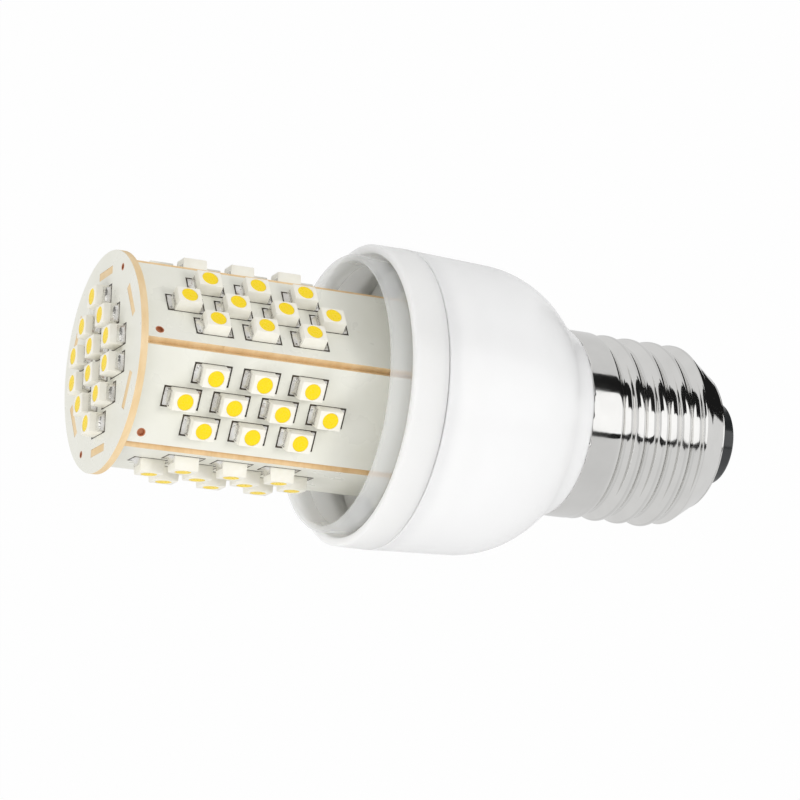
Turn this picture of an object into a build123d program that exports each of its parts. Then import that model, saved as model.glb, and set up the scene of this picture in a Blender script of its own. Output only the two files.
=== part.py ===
from build123d import *
import os
from math import cos, sin, tan, radians

os.makedirs("parts", exist_ok=True)

# Lamp with a tower of small lights on a screw cap.
# Sizes are in millimetres. Heights run up the lamp's axis from the tip of its centre contact.
# The front board faces -Y.

# Screw cap: the common lamp thread of 27 mm
cap_height = 27.0
thread_crest_radius = 13.15
thread_depth = 1.0
thread_pitch = 3.629
thread_half_width = 1.25
thread_crest_height = 20.0
thread_turns_below = 4
thread_turns = 5
cap_sheet = 0.4
band_radius = 13.2
band_height = 3.9
band_step = 0.9
cap_foot_radius = 9.87
cap_foot_height = 4.4
cap_taper_height = 3.2

# Insulator and centre contact
contact_radius = 4.8
contact_thickness = 0.9
contact_shank_radius = 1.5
contact_shank_height = 7.0
insulator_tip_radius = 6.3
insulator_bulge = 0.55
insulator_plug_height = 3.0
insulator_dish_radius = 4.5
insulator_dish_depth = 1.6

# Bell housing
bell_top_radius = 20.76
bell_top_height = 52.6
bell_wall = 1.5
wall_draft = 0.48
wall_foot_height = 40.9
neck_turn_radius = 15.9
neck_turn_height = 30.85
neck_turn_slope = 47.0
bell_mouth_radius = 13.2
spigot_height = 14.0
spigot_wall = 1.3
groove_depth = 0.5
groove_rise = 6.0
ledge_height = 46.7
ledge_width = 1.5
ledge_thickness = 1.0

# Front ring, with a tongue that laps into the bell
ring_step = 0.04
ring_top_height = 57.75
ring_rim_wall = 1.2
ring_rim_round = 0.35
parting_gap = 0.25
tongue_depth = 1.4
tongue_wall = 0.65

# Clear collar in the mouth
collar_gap = 0.16
collar_wall = 1.0
collar_top_height = 60.3
collar_round = 0.3

# Tower of six boards, a base board and an end board
tower_apothem = 12.5
board_thickness = 1.0
board_count = 6
base_board_thickness = 1.2
end_board_front_height = 93.67
end_board_radius = 14.87
tab_width = 5.0
tab_recess = 0.1
index_hole_radius = 0.5
index_hole_drop = 3.0
index_hole_side = -5.25
end_hole_radius = 0.4
end_hole_pitch_radius = 13.1
end_board_turn = 30.0

# Lights: moulded body, phosphor window and two solder fillets
led_length = 3.5
led_width = 2.8
led_height = 1.9
led_draft = 3.0
window_radius = 1.08
window_depth = 0.5
window_recess = 0.08
window_sides = 10
fillet_length = 0.8
fillet_width = 2.2
fillet_height = 0.7
led_pitch = 6.8
led_first_drop = 7.3
led_side_drop = 10.7
led_side_offset = 3.6
led_middle_count = 4
led_side_count = 3

# Driver board and what it carries
driver_thickness = 1.2
driver_foot_height = 14.6
driver_neck_height = 27.6
driver_shoulder_height = 31.5
driver_top_height = 44.5
driver_half_width = 12.5
film_cap_size = (12.5, 6.0, 10.5)
film_cap_round = 1.0
film_cap_place = (-4.7, 37.6)
can_radius = 4.0
can_length = 11.5
can_place = (7.2, 31.9)
rectifier_size = (6.4, 3.1, 8.4)
rectifier_place = (-6.0, 36.5)
rectifier_leg = (0.6, 0.5)
rectifier_leg_reach = 1.3
rectifier_leg_pitch = 5.1
resistor_lead_radius = 0.3
resistor_lead_span = 3.0
fuse_radius = 1.5
fuse_length = 7.5
fuse_place = (4.0, 40.5)
bleeder_radius = 1.15
bleeder_length = 6.2
bleeder_place = (4.0, 34.5)
wire_radius = 0.65
wire_bend = 1.6
live_wire_side = 2.6
neutral_wire_side = -6.0
board_wire_side = 11.8
tower_wire_side = 10.0
tower_wire_back = 3.0
live_wire_rise = 3.2
live_wire_turn = 6.0
board_wire_reach = 4.0
neutral_wire_drop = 2.2
neutral_wire_fall = 2.4
tower_wire_drop = 7.0
tower_wire_turn = 3.4
tower_wire_bridge = 1.2
tower_wire_reach = 1.0

# Clearances
slide_gap = 0.15
seat_gap = 0.1
edge_gap = 0.04
cutter_reach = 1.0

# Worked out from the sizes above
thread_root_radius = thread_crest_radius - thread_depth
thread_round = (thread_half_width**2 + thread_depth**2) / (2 * thread_depth)
cap_bore_radius = thread_root_radius - cap_sheet
taper_slope = (thread_root_radius - cap_foot_radius) / cap_taper_height
spigot_radius = cap_bore_radius - slide_gap
spigot_foot_height = cap_height - spigot_height
neck_bore_radius = spigot_radius - spigot_wall
bell_bore_radius = bell_top_radius - bell_wall
wall_foot_radius = bell_top_radius - wall_draft
ring_radius = bell_top_radius + ring_step
tongue_inner_radius = bell_bore_radius + edge_gap
collar_radius = bell_bore_radius - collar_gap
base_board_radius = collar_radius
base_board_top = ledge_height + base_board_thickness
tongue_foot_height = bell_top_height - tongue_depth
ring_foot_height = bell_top_height + parting_gap
end_board_back_height = end_board_front_height - board_thickness
panel_width = 2 * (tower_apothem - board_thickness) * tan(radians(180 / board_count)) - 2 * edge_gap
panel_height = end_board_back_height - base_board_top
slot_radius = tower_apothem - board_thickness / 2
panel_angles = [-90 + 360 / board_count * n for n in range(board_count)]
end_led_places = [(8.6, 0), (5.3, 3.5), (1.85, 0), (1.85, 6.4)]


def turned(outline):
    """Solid of revolution about the lamp's axis, from an outline in radius and height."""
    return revolve(Plane.XZ * outline, Axis.Z)


def closed(*points):
    """Flat outline with straight sides."""
    return make_face(Polyline(*points, close=True))


def tube(path_points, radius, bend):
    """Round wire along straight runs joined by bends."""
    path = FilletPolyline(*path_points, radius=bend)
    return sweep(Plane(origin=path @ 0, z_dir=path % 0) * Circle(radius), path=path)


def save(shape, name):
    export_step(shape, "parts/" + name + ".step")


# Cap


def thread_ridge():
    """Round helical ridge, its crest crossing the +X side at the crest height."""
    start = thread_crest_height - thread_turns_below * thread_pitch
    centre_radius = thread_crest_radius - thread_round
    path = Pos(0, 0, start) * Helix(thread_pitch, thread_turns * thread_pitch, centre_radius)
    section = Plane(origin=path @ 0, z_dir=path % 0) * Circle(thread_round)
    return sweep(section, path=path, is_frenet=True)


def screw_shell():
    """Thin threaded sleeve with a smooth band above and a tapered foot."""
    band_foot = cap_height - band_height
    core_top = band_foot + band_step
    taper_reach = band_radius + cap_sheet
    taper_top = cap_foot_height + (taper_reach - cap_foot_radius) / taper_slope
    core = Pos(0, 0, cap_foot_height) * Cylinder(
        thread_root_radius, core_top - cap_foot_height, align=(Align.CENTER, Align.CENTER, Align.MIN)
    )
    envelope = turned(
        closed(
            (0, cap_foot_height),
            (cap_foot_radius, cap_foot_height),
            (taper_reach, taper_top),
            (taper_reach, cap_height),
            (0, cap_height),
        )
    )
    threaded = (core + thread_ridge()) & envelope
    band = turned(
        closed(
            (0, band_foot - band_step),
            (thread_root_radius, band_foot - band_step),
            (band_radius, band_foot),
            (band_radius, cap_height),
            (0, cap_height),
        )
    )
    bore = turned(
        closed(
            (0, cap_foot_height - 1),
            (cap_foot_radius - cap_sheet, cap_foot_height - 1),
            (cap_foot_radius - cap_sheet, cap_foot_height),
            (cap_bore_radius, cap_foot_height + cap_taper_height + cap_sheet / 2),
            (cap_bore_radius, band_foot - band_step + cap_sheet / 2),
            (band_radius - cap_sheet, band_foot + cap_sheet / 2),
            (band_radius - cap_sheet, cap_height + 1),
            (0, cap_height + 1),
        )
    )
    return threaded + band - bore


def insulator():
    """Dark moulding that closes the foot of the cap and carries the contact."""
    lip_radius = cap_foot_radius - cap_sheet - edge_gap
    shoulder = cap_foot_radius - edge_gap
    bowl_mid = (
        (insulator_tip_radius + shoulder) / 2 + insulator_bulge,
        (contact_thickness + cap_foot_height) / 2 - insulator_bulge,
    )
    plug_top = cap_foot_height + insulator_plug_height
    plug_radius = lip_radius + (insulator_plug_height - 1) * taper_slope
    bore = contact_shank_radius + seat_gap
    outline = (
        Line((bore, contact_thickness), (insulator_tip_radius, contact_thickness))
        + ThreePointArc((insulator_tip_radius, contact_thickness), bowl_mid, (shoulder, cap_foot_height))
        + Polyline(
            (shoulder, cap_foot_height),
            (lip_radius, cap_foot_height),
            (lip_radius, cap_foot_height + 0.4),
            (plug_radius, plug_top - 0.6),
            (plug_radius, plug_top),
            (insulator_dish_radius, plug_top),
            (insulator_dish_radius - 1, plug_top - insulator_dish_depth),
            (bore, plug_top - insulator_dish_depth),
            (bore, contact_thickness),
        )
    )
    return turned(make_face(outline))


def centre_contact():
    """Contact disc with a domed edge and a shank through the insulator."""
    disc = closed(
        (0, 0),
        (contact_radius - contact_thickness / 2, 0),
        (contact_radius, contact_thickness / 2),
        (contact_radius, contact_thickness),
        (contact_shank_radius, contact_thickness),
        (contact_shank_radius, contact_shank_height),
        (0, contact_shank_height),
    )
    return turned(disc)


# Housing


def bell_curve(inset):
    """Line of the bell's wall from the mouth's turn to its top, moved inwards by the inset."""
    turn_x = neck_turn_radius - inset * cos(radians(neck_turn_slope))
    turn_z = neck_turn_height + inset * sin(radians(neck_turn_slope))
    wall_foot = (wall_foot_radius - inset, wall_foot_height)
    wall_top = (bell_top_radius - inset, bell_top_height)
    fall = (wall_foot[0] - wall_top[0], wall_foot[1] - wall_top[1])
    return wall_top, wall_foot, (turn_x, turn_z), fall


def bell_blank():
    """Outer form of the bell: drafted wall, round shoulder, flared neck and spigot, left solid."""
    top, foot, turn, fall = bell_curve(0)
    shoulder = TangentArc(foot, turn, tangent=fall)
    neck = TangentArc(turn, (bell_mouth_radius, cap_height), tangent=shoulder % 1)
    rest = Polyline(
        (bell_mouth_radius, cap_height),
        (spigot_radius, cap_height),
        (spigot_radius, spigot_foot_height),
        (0, spigot_foot_height),
        (0, bell_top_height),
        top,
        foot,
    )
    return turned(make_face(shoulder + neck + rest))


def bell_cavity():
    """Space inside the bell, with the ledge for the base board and the rebate for the ring."""
    top, foot, turn, fall = bell_curve(bell_wall)
    ledge_bore = bell_bore_radius - ledge_width
    rebate_radius = tongue_inner_radius + tongue_wall + seat_gap
    neck_top = turn[1] - (turn[0] - neck_bore_radius)
    shoulder = TangentArc(foot, turn, tangent=fall)
    rest = Polyline(
        turn,
        (neck_bore_radius, neck_top),
        (neck_bore_radius, spigot_foot_height - 1),
        (0, spigot_foot_height - 1),
        (0, bell_top_height + 1),
        (rebate_radius, bell_top_height + 1),
        (rebate_radius, tongue_foot_height),
        (bell_bore_radius, tongue_foot_height),
        (bell_bore_radius, ledge_height),
        (ledge_bore, ledge_height),
        (ledge_bore, ledge_height - ledge_thickness),
        (foot[0], ledge_height - ledge_thickness - ledge_width),
        foot,
    )
    return turned(make_face(shoulder + rest))


def driver_grooves():
    """Two upright grooves in the neck that the driver board slides down."""
    reach = 2 * (neck_bore_radius + groove_depth)
    width = driver_thickness + 2 * seat_gap
    slot = Box(reach, width, spigot_height + groove_rise, align=(Align.CENTER, Align.CENTER, Align.MIN))
    return Pos(0, 0, driver_foot_height) * slot


def bell_housing():
    return bell_blank() - bell_cavity() - driver_grooves()


def front_ring():
    """White ring round the mouth, its tongue lapped into the bell."""
    rim_inner = ring_radius - ring_rim_wall
    tongue_outer = tongue_inner_radius + tongue_wall
    outline = closed(
        (tongue_inner_radius, tongue_foot_height),
        (tongue_outer, tongue_foot_height),
        (tongue_outer, ring_foot_height),
        (ring_radius, ring_foot_height),
        (ring_radius, ring_top_height),
        (rim_inner, ring_top_height),
    )
    rim = outline.vertices().sort_by(Axis.Y)[-2:]
    return turned(fillet(rim, ring_rim_round))


def clear_collar():
    """Clear sleeve that stands on the base board and shows above the ring."""
    outline = closed(
        (collar_radius - collar_wall, base_board_top),
        (collar_radius, base_board_top),
        (collar_radius, collar_top_height),
        (collar_radius - collar_wall, collar_top_height),
    )
    rim = outline.vertices().sort_by(Axis.Y)[-2:]
    return turned(fillet(rim, collar_round))


# Tower


def face_plane(angle):
    """Plane on the outer face of the panel at this angle: x across the panel, y up the lamp."""
    normal = (cos(radians(angle)), sin(radians(angle)), 0)
    origin = (tower_apothem * normal[0], tower_apothem * normal[1], 0)
    return Plane(origin=origin, x_dir=(-normal[1], normal[0], 0), z_dir=normal)


def end_plane():
    """Plane on the front of the end board, turned with its pattern of lights."""
    turn = radians(end_board_turn)
    return Plane(origin=(0, 0, end_board_front_height), x_dir=(cos(turn), sin(turn), 0), z_dir=(0, 0, 1))


def panel_board():
    """One upright board in its own plane, with a tab at each end and an index hole."""
    lower_reach = base_board_thickness - tab_recess
    upper_reach = board_thickness - tab_recess
    body = Pos(0, base_board_top + panel_height / 2) * Rectangle(panel_width, panel_height)
    tab_foot = base_board_top - lower_reach
    tab_top = end_board_back_height + upper_reach
    tab = Pos(0, (tab_foot + tab_top) / 2) * Rectangle(tab_width, tab_top - tab_foot)
    hole = Pos(index_hole_side, end_board_front_height - index_hole_drop) * Circle(index_hole_radius)
    return extrude(body + tab - hole, amount=-board_thickness)


def tab_slots(thickness):
    """Cutter for the slots that the tabs pass through, in a board that lies flat."""
    slot = Box(board_thickness + seat_gap, tab_width + seat_gap, thickness + 2 * cutter_reach)
    return [Rot(0, 0, angle) * Pos(slot_radius, 0, 0) * slot for angle in panel_angles]


def end_board():
    """Round board that closes the tower and carries the forward lights."""
    centre = end_board_front_height - board_thickness / 2
    board = Pos(0, 0, centre) * Cylinder(end_board_radius, board_thickness)
    holes = [
        Pos(side * end_hole_pitch_radius, 0, centre) * Cylinder(end_hole_radius, board_thickness + 2 * cutter_reach)
        for side in (-1, 1)
    ]
    slots = [Pos(0, 0, centre) * slot for slot in tab_slots(board_thickness)]
    return board - holes - slots


def base_board():
    """Round board that stands on the bell's ledge and carries the tower."""
    centre = ledge_height + base_board_thickness / 2
    board = Pos(0, 0, centre) * Cylinder(base_board_radius, base_board_thickness)
    holes = [
        Pos(side * tower_wire_side, tower_wire_back, centre)
        * Cylinder(wire_radius + slide_gap, base_board_thickness + 2 * cutter_reach)
        for side in (-1, 1)
    ]
    slots = [Pos(0, 0, centre) * slot for slot in tab_slots(base_board_thickness)]
    return board - holes - slots


# Lights


def led_body():
    """Moulded body on the board, long side up the lamp, with the well for the phosphor."""
    block = extrude(Rectangle(led_width, led_length), amount=led_height, taper=led_draft)
    well = Pos(0, 0, led_height - window_depth) * extrude(
        RegularPolygon(window_radius, window_sides), amount=window_depth + 1
    )
    return block - well


def led_window():
    """Phosphor filling of the well, a little below its edge."""
    depth = window_depth - window_recess
    return Pos(0, 0, led_height - window_depth) * extrude(RegularPolygon(window_radius, window_sides), depth)


def led_fillets():
    """Solder fillets at the two ends of the body."""
    side = closed((led_length / 2, 0), (led_length / 2 + fillet_length, 0), (led_length / 2, fillet_height))
    wedge = Pos(-fillet_width / 2, 0, 0) * extrude(Plane.YZ * side, amount=fillet_width)
    return [wedge, Rot(0, 0, 180) * wedge]


def panel_led_places():
    """Middle row of four with a row of three each side, in the panel's plane."""
    middle = [
        (0, end_board_front_height - led_first_drop - n * led_pitch) for n in range(led_middle_count)
    ]
    sides = [
        (side * led_side_offset, end_board_front_height - led_side_drop - n * led_pitch)
        for side in (-1, 1)
        for n in range(led_side_count)
    ]
    return middle + sides


def end_led_pattern():
    """The end board's lights, mirrored about both lines of its pattern."""
    places = {(sx * x, sy * y) for x, y in end_led_places for sx in (-1, 1) for sy in (-1, 1)}
    return sorted(places)


def placed(solids, plane, places):
    """One copy of each solid at each place in the plane."""
    return Compound(
        children=[plane.location * Pos(x, y, 0) * solid for x, y in places for solid in solids]
    )


# Driver


def driver_board():
    """Upright board whose foot slides in the neck's grooves."""
    foot_half = neck_bore_radius + groove_depth - seat_gap
    outline = closed(
        (-foot_half, driver_foot_height),
        (foot_half, driver_foot_height),
        (foot_half, driver_neck_height),
        (driver_half_width, driver_shoulder_height),
        (driver_half_width, driver_top_height),
        (-driver_half_width, driver_top_height),
        (-driver_half_width, driver_shoulder_height),
        (-foot_half, driver_neck_height),
    )
    return extrude(Plane.XZ * outline, amount=driver_thickness / 2, both=True)


def film_capacitor():
    """Box capacitor against the back of the board."""
    width, depth, height = film_cap_size
    x, z = film_cap_place
    body = fillet(Box(width, depth, height).edges(), film_cap_round)
    return Pos(x, driver_thickness / 2 + depth / 2, z) * body


def can_capacitor():
    """Round capacitor that lies on the back of the board, with its crimp and two bent leads."""
    x, z = can_place
    crimp = 0.35
    outline = closed(
        (0, 0),
        (can_radius, 0),
        (can_radius, 1.4),
        (can_radius - crimp, 1.9),
        (can_radius, 2.4),
        (can_radius, can_length - crimp),
        (can_radius - crimp, can_length),
        (0, can_length),
    )
    axis_y = driver_thickness / 2 + can_radius
    body = Pos(x, axis_y, z) * turned(outline)
    leads = [
        tube(
            [(x + s, axis_y, z + 0.5), (x + s, axis_y, z - 1.2), (x + s, driver_thickness / 2, z - 1.2)],
            resistor_lead_radius,
            0.6,
        )
        for s in (-1.75, 1.75)
    ]
    return body + leads


def bridge_rectifier():
    """Moulded bridge on the front of the board, with two legs each side."""
    width, depth, height = rectifier_size
    leg_width, leg_sheet = rectifier_leg
    x, z = rectifier_place
    face = -driver_thickness / 2
    body = Pos(x, face - depth / 2 - leg_sheet, z) * chamfer(Box(width, depth, height).edges(), 0.3)
    legs = [
        Pos(x + side * (width / 2 + rectifier_leg_reach / 2), face - depth / 4 - leg_sheet / 2, z + level)
        * Box(rectifier_leg_reach, depth / 2 + leg_sheet, leg_width)
        for side in (-1, 1)
        for level in (-rectifier_leg_pitch / 2, rectifier_leg_pitch / 2)
    ]
    return body + legs


def axial_part(radius, length, place):
    """Round part on bent leads, lying across the front of the board."""
    x, z = place
    face = -driver_thickness / 2
    level = face - radius - seat_gap
    half = length / 2
    neck = 0.2 * radius
    outline = closed(
        (0, -half),
        (radius - neck, -half),
        (radius, -half + neck),
        (radius, half - neck),
        (radius - neck, half),
        (0, half),
    )
    body = Pos(x, level, z) * Rot(0, 90, 0) * turned(outline)
    reach = half + resistor_lead_span / 2
    lead = tube(
        [(x - reach, face, z), (x - reach, level, z), (x + reach, level, z), (x + reach, face, z)],
        resistor_lead_radius,
        0.6,
    )
    return body + lead


def wire_level():
    return driver_thickness / 2 + wire_radius + seat_gap


def live_wire():
    """From the contact's shank up to the foot of the driver board."""
    side, level = live_wire_side, -wire_level()
    start = contact_shank_height
    route = [(0, 0, start), (0, 0, start + live_wire_rise)]
    route += [(side, level, start + live_wire_turn), (side, level, driver_foot_height + board_wire_reach)]
    return tube(route, wire_radius, wire_bend)


def neutral_wire():
    """From the driver board down past the spigot's foot and out to the shell."""
    side, level = neutral_wire_side, -wire_level()
    turn = spigot_foot_height - neutral_wire_drop
    end = -(cap_bore_radius - wire_radius)
    route = [(side, level, driver_foot_height + board_wire_reach)]
    route += [(side, level, turn), (end, level, turn - neutral_wire_fall)]
    return tube(route, wire_radius, wire_bend)


def tower_wire(side):
    """From the back of the driver board, past its parts and through the base board."""
    x, level = side * board_wire_side, wire_level()
    hole = (side * tower_wire_side, tower_wire_back)
    route = [(x, level, ledge_height - tower_wire_drop), (x, level, ledge_height - tower_wire_turn)]
    route += [(*hole, ledge_height - tower_wire_bridge), (*hole, base_board_top + tower_wire_reach)]
    return tube(route, wire_radius, wire_bend / 2)


save(screw_shell(), "screw_shell")
save(insulator(), "insulator")
save(centre_contact(), "centre_contact")
save(bell_housing(), "bell_housing")
save(front_ring(), "front_ring")
save(clear_collar(), "clear_collar")
save(base_board(), "base_board")
save(end_board(), "end_board")

panel = panel_board()
body = led_body()
window = led_window()
fillets = led_fillets()
for number, angle in enumerate(panel_angles, start=1):
    plane = face_plane(angle)
    save(plane.location * panel, f"panel_board_{number}")
    save(placed([body], plane, panel_led_places()), f"light_bodies_{number}")
    save(placed([window], plane, panel_led_places()), f"light_windows_{number}")
    save(placed(fillets, plane, panel_led_places()), f"solder_fillets_{number}")

save(placed([body], end_plane(), end_led_pattern()), "light_bodies_end")
save(placed([window], end_plane(), end_led_pattern()), "light_windows_end")
save(placed(fillets, end_plane(), end_led_pattern()), "solder_fillets_end")

save(driver_board(), "driver_board")
save(film_capacitor(), "film_capacitor")
save(can_capacitor(), "can_capacitor")
save(bridge_rectifier(), "bridge_rectifier")
save(axial_part(fuse_radius, fuse_length, fuse_place), "fuse_resistor")
save(axial_part(bleeder_radius, bleeder_length, bleeder_place), "bleeder_resistor")
save(live_wire(), "live_wire")
save(neutral_wire(), "neutral_wire")
save(tower_wire(-1), "tower_wire_minus")
save(tower_wire(1), "tower_wire_plus")
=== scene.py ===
# %% [markdown]
# # A lamp with a tower of small lights
# The lamp has three parts that the eye reads at once: a plated screw cap, a gloss white housing shaped
# like a bell, and a six-sided tower of white boards that carries small lights on its sides and its end.
# The CAD model gives every size and place. Here each visible part is modelled again with finer edges,
# and gets its finish.

from math import asin, atan2, cos, hypot, pi, radians, sin, sqrt, tan

import bpy
from mathutils import Matrix, Vector


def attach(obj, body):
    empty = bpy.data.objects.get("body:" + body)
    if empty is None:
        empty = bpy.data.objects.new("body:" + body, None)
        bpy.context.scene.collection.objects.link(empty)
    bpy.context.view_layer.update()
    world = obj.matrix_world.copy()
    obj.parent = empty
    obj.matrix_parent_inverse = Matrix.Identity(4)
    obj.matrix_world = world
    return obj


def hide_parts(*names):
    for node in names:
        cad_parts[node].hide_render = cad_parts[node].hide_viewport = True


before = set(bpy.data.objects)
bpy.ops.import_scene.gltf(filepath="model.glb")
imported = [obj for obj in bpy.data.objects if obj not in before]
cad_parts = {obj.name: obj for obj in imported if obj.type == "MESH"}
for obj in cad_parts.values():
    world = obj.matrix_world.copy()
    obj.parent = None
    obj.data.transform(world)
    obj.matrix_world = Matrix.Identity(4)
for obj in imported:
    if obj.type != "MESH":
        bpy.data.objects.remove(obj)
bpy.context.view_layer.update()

# %% [markdown]
# Sizes are written in millimetres, as a maker would write them, and become metres when a mesh is made.
# Heights run up the lamp's axis from the tip of its contact, as in the CAD model.

# %% Units
MM = 0.001
WELD = 0.002 * MM

# %% [markdown]
# ## Camera
# The photograph was taken from the front left with a long lens, and the lamp lies on its side in it.
# A camera's matrix has its right, up and backward directions as columns, so the view can be written
# down directly, without turning the lamp.

# %% Camera
view_right = Vector((0.23501, -0.35521, -0.90476))
view_up = Vector((0.94183, 0.31331, 0.12164))
view_back = Vector((0.24026, -0.88072, 0.40818))
view_place = Vector((0.09939, -0.36358, 0.21881))

lens = bpy.data.cameras.new("camera")
lens.lens = 135
lens.sensor_width = 36
lens.clip_start = 0.01
camera = bpy.data.objects.new("camera", lens)
bpy.context.collection.objects.link(camera)
turn = Matrix((view_right, view_up, view_back)).transposed().to_4x4()
camera.matrix_world = Matrix.Translation(view_place) @ turn
bpy.context.scene.camera = camera
print("camera", round(view_place.length * 1000), "mm from the contact's tip")

# %% [markdown]
# ## Nodes by name
# A finish is a tree of nodes. Writing each node out takes many lines, so the first helper adds a node with
# its settings and inputs in one line, where an input is a number, a colour, or the socket of another
# node. The others stand for the nodes that come back most.


# %% Node helpers
def node(tree, kind, settings=None, **inputs):
    """Add a shader node. An input named in0, in1 and so on is taken by its place."""
    made = tree.nodes.new("ShaderNode" + kind)
    for name, value in (settings or {}).items():
        setattr(made, name, value)
    for name, value in inputs.items():
        key = int(name[2:]) if name[:2] == "in" and name[2:].isdigit() else name.replace("_", " ")
        if isinstance(value, bpy.types.NodeSocket):
            tree.links.new(value, made.inputs[key])
        else:
            made.inputs[key].default_value = value
    return made


def group(name, inputs, outputs):
    """A new shader group with named sockets. Returns its tree, its inputs and its outputs."""
    tree = bpy.data.node_groups.new(name, "ShaderNodeTree")
    for label, kind, value in inputs:
        socket = tree.interface.new_socket(label, in_out="INPUT", socket_type="NodeSocket" + kind)
        if value is not None:
            socket.default_value = value
    for label, kind in outputs:
        tree.interface.new_socket(label, in_out="OUTPUT", socket_type="NodeSocket" + kind)
    return tree, tree.nodes.new("NodeGroupInput").outputs, tree.nodes.new("NodeGroupOutput").inputs


def blend(tree, factor, first, second):
    """Mix two colours and give back the resulting colour."""
    made = node(tree, "Mix", {"data_type": "RGBA"}, in0=factor, in6=first, in7=second)
    return made.outputs[2]


def stretch(tree, value, low, high, to_low=0.0, to_high=1.0):
    """Map a range of one value to a range of another."""
    made = node(
        tree, "MapRange", Value=value, From_Min=low, From_Max=high, To_Min=to_low, To_Max=to_high
    )
    return made.outputs["Result"]


def calculate(tree, operation, *values):
    """The result of a calculation on numbers or on the sockets of other nodes."""
    inputs = {f"in{k}": value for k, value in enumerate(values)}
    return node(tree, "Math", {"operation": operation}, **inputs).outputs[0]


def noise(tree, vector, scale, detail=2.0, rough=0.5):
    """A noise pattern's value."""
    made = node(tree, "TexNoise", Vector=vector, Scale=scale, Detail=detail, Roughness=rough)
    return made.outputs[0]


def rgb(red, green, blue):
    return (red, green, blue, 1.0)


print("node helpers ready")

# %% [markdown]
# ## Shared effects
# Some effects come back in many finishes, each time with other values. Each is a group with named
# inputs and outputs, built once:
# - an uneven finish, where colour, gloss and height drift a little over the surface;
# - stains, which are small irregular spots of flux, dust or wear;
# - drawn lines, the fine streaks that rolling, turning or cutting leaves along one direction.

# %% Uneven finish
uneven, give, take = group(
    "Uneven finish",
    [
        ("Vector", "Vector", None),
        ("Scale", "Float", 400.0),
        ("Colour", "Color", rgb(0.8, 0.8, 0.8)),
        ("Second colour", "Color", rgb(0.7, 0.7, 0.7)),
        ("Gloss end", "Float", 0.2),
        ("Matt end", "Float", 0.3),
    ],
    [("Colour", "Color"), ("Roughness", "Float"), ("Height", "Float")],
)
broad = noise(uneven, give["Vector"], give["Scale"], 3.0, 0.55)
fine = noise(uneven, give["Vector"], calculate(uneven, "MULTIPLY", give["Scale"], 7.0), 2.0, 0.6)
drift = stretch(uneven, broad, 0.3, 0.7)
uneven.links.new(blend(uneven, drift, give["Colour"], give["Second colour"]), take["Colour"])
gloss = stretch(uneven, broad, 0.3, 0.7, give["Gloss end"], give["Matt end"])
uneven.links.new(gloss, take["Roughness"])
uneven.links.new(calculate(uneven, "MULTIPLY_ADD", fine, 0.35, broad), take["Height"])
print("group", uneven.name)

# %% Stains
stains, give, take = group(
    "Stains",
    [("Vector", "Vector", None), ("Scale", "Float", 900.0), ("Amount", "Float", 0.35)],
    [("Mask", "Float")],
)
spots = noise(stains, give["Vector"], give["Scale"], 4.0, 0.65)
bare = calculate(stains, "SUBTRACT", 1.0, give["Amount"])
limit = calculate(stains, "MULTIPLY_ADD", bare, 0.4, 0.33)
stains.links.new(stretch(stains, spots, limit, calculate(stains, "ADD", limit, 0.12)), take["Mask"])
print("group", stains.name)

# %% Drawn lines
lines, give, take = group(
    "Drawn lines",
    [("Vector", "Vector", None), ("Scale", "Float", 2000.0), ("Stretch", "Vector", (0.05, 0.05, 1.0))],
    [("Mask", "Float"), ("Height", "Float")],
)
pulled = node(lines, "VectorMath", {"operation": "MULTIPLY"}, in0=give["Vector"], in1=give["Stretch"])
streaks = noise(lines, pulled.outputs[0], give["Scale"], 3.0, 0.6)
lines.links.new(stretch(lines, streaks, 0.35, 0.65), take["Mask"])
lines.links.new(streaks, take["Height"])
print("group", lines.name)

# %% [markdown]
# ## Starting a finish
# Every finish starts as a Principled shader that reads the piece's own coordinates. What is the same
# all over the surface is set on the shader's own sockets. What changes comes from the groups.


# %% Finish helpers
def finish(name, **constants):
    """A new material. Returns it with its tree, its shader and its object coordinates."""
    made = bpy.data.materials.new(name)
    made.use_nodes = True
    tree = made.node_tree
    shader = tree.nodes["Principled BSDF"]
    for label, value in constants.items():
        shader.inputs[label.replace("_", " ")].default_value = value
    return made, tree, shader, node(tree, "TexCoord").outputs["Object"]


def place_group(tree, kind, **inputs):
    """Put a shared effect into a finish."""
    return node(tree, "Group", {"node_tree": kind}, **inputs).outputs


def paint(piece, materials):
    """Give a piece these finishes, in this order."""
    piece.data.materials.clear()
    for material in materials:
        piece.data.materials.append(material)


def bump(tree, shader, height, depth):
    """Feed a height pattern to the shader as a bump of this depth in millimetres."""
    made = node(tree, "Bump", Strength=0.5, Distance=depth * MM, Height=height)
    tree.links.new(made.outputs[0], shader.inputs["Normal"])


def uneven_finish(name, colour, second, scale, roughness, grain, **constants):
    """A finish whose colour, gloss and height drift a little."""
    made, tree, shader, where = finish(name, **constants)
    drifted = place_group(
        tree, uneven, Vector=where, Scale=scale, Colour=colour, Second_colour=second,
        Gloss_end=roughness[0], Matt_end=roughness[1],
    )
    tree.links.new(drifted["Colour"], shader.inputs["Base Color"])
    tree.links.new(drifted["Roughness"], shader.inputs["Roughness"])
    bump(tree, shader, drifted["Height"], grain)
    return made


def stained(made, colour, scale, amount, metal=None):
    """Lay stains of this colour over a finish. Metal gives the metallic value outside and inside them."""
    tree = made.node_tree
    shader = tree.nodes["Principled BSDF"]
    where = next(n for n in tree.nodes if n.bl_idname == "ShaderNodeTexCoord").outputs["Object"]
    mask = place_group(tree, stains, Vector=where, Scale=scale, Amount=amount)["Mask"]
    below = shader.inputs["Base Color"].links[0].from_socket
    tree.links.new(blend(tree, mask, below, colour), shader.inputs["Base Color"])
    if metal is not None:
        tree.links.new(stretch(tree, mask, 0.0, 1.0, metal[0], metal[1]), shader.inputs["Metallic"])
    return made


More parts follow.
